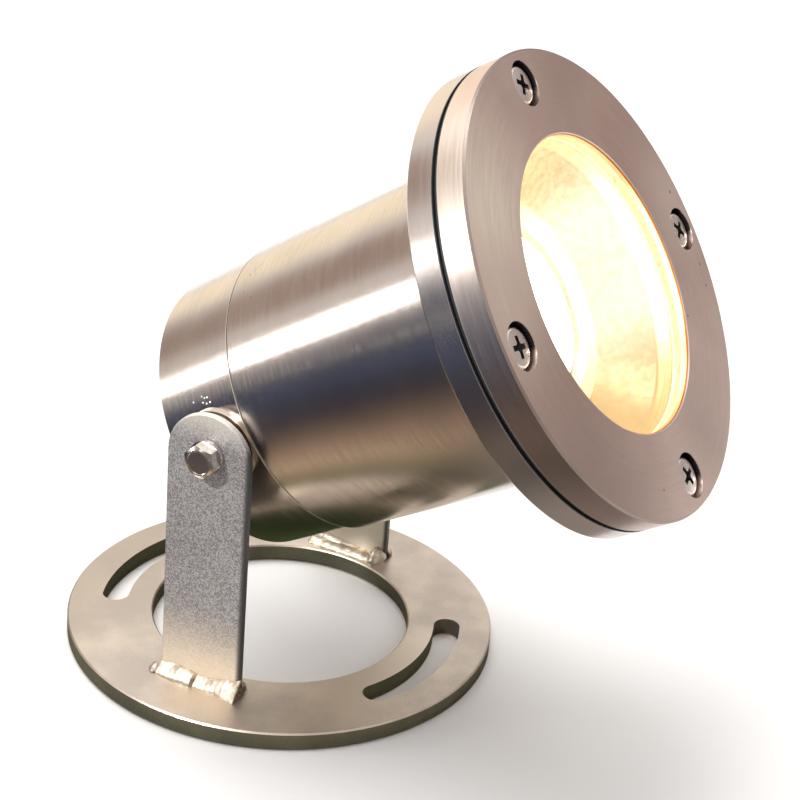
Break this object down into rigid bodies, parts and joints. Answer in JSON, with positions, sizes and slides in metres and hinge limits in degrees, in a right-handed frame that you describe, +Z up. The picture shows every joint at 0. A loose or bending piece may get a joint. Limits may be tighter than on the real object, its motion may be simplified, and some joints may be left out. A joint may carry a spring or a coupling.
{
  "type": "underwater light",
  "caption": "Adjustable submersible spotlight: round sealed lamp head tilting between two legs welded to a flat slotted base ring.",
  "frame": {"origin": "middle of the base ring's underside", "axes": "+Z up; +X the way the lamp aims, seen from above; +Y along the pivot axis, towards the far leg"},
  "size_m": [0.1758, 0.12, 0.1765],
  "materials": {
    "ring_plate": "fine blasted and lightly brushed stainless plate",
    "leg_bar": "bead-blasted stainless bar",
    "weld_bead": "as-welded stainless bead",
    "housing_steel": "turned stainless with circumferential brush lines",
    "flange_steel": "turned stainless",
    "bezel_steel": "fine satin stainless",
    "boss_steel": "machined stainless",
    "screw_steel": "bright stainless",
    "bolt_steel": "bright stainless, slightly dull",
    "gasket_rubber": "black rubber",
    "seal_silicone": "pale translucent silicone",
    "lens_glass": "clear toughened glass",
    "reflector_aluminium": "finely hammered aluminium",
    "lamp_ring_aluminium": "turned aluminium",
    "lamp_bowl": "coated glass bowl",
    "lamp_cover": "lamp cover glass, lit warm white",
    "lamp_bulb": "lit halogen capsule",
    "socket_ceramic": "unglazed white ceramic",
    "lead_insulation": "silicone insulated lead",
    "terminal_plastic": "natural nylon",
    "terminal_brass": "plain brass",
    "washer_nylon": "black nylon",
    "gland_metal": "nickel-plated brass",
    "gland_rubber": "black rubber"
  },
  "bodies": {
    "base": {"base_ring": "ring_plate", "far_leg": "leg_bar", "near_leg": "leg_bar", "far_leg_welds": "weld_bead", "near_leg_welds": "weld_bead"},
    "head": {"housing_tube": "housing_steel", "rear_cap": "housing_steel", "cap_oring": "gasket_rubber", "far_pivot_boss": "boss_steel", "near_pivot_boss": "boss_steel", "front_flange": "flange_steel", "flange_gasket": "gasket_rubber", "bezel_ring": "bezel_steel", "bezel_screws": "screw_steel", "glass_lens": "lens_glass", "glass_seal": "seal_silicone", "reflector": "reflector_aluminium", "lamp_ring": "lamp_ring_aluminium", "lamp_body": "lamp_bowl", "lamp_face": "lamp_cover", "lamp_capsule": "lamp_bulb", "lamp_socket": "socket_ceramic", "lamp_leads": "lead_insulation", "terminal_block": "terminal_plastic", "terminal_screws": "terminal_brass", "far_pivot_bolt": "bolt_steel", "near_pivot_bolt": "bolt_steel", "far_lock_washer": "bolt_steel", "near_lock_washer": "bolt_steel", "far_friction_washer": "washer_nylon", "near_friction_washer": "washer_nylon", "gland_gasket": "gland_rubber", "gland_body": "gland_metal", "gland_locknut": "gland_metal", "gland_nut": "gland_metal", "gland_seal": "gland_rubber"}
  },
  "joints": [
    {"name": "head_tilt", "type": "hinge", "parent": "base", "child": "head", "pos_m": [0, 0, 0.0728], "axis": [0, -1, 0], "range_deg": [-37.7, 152.3]}
  ]
}
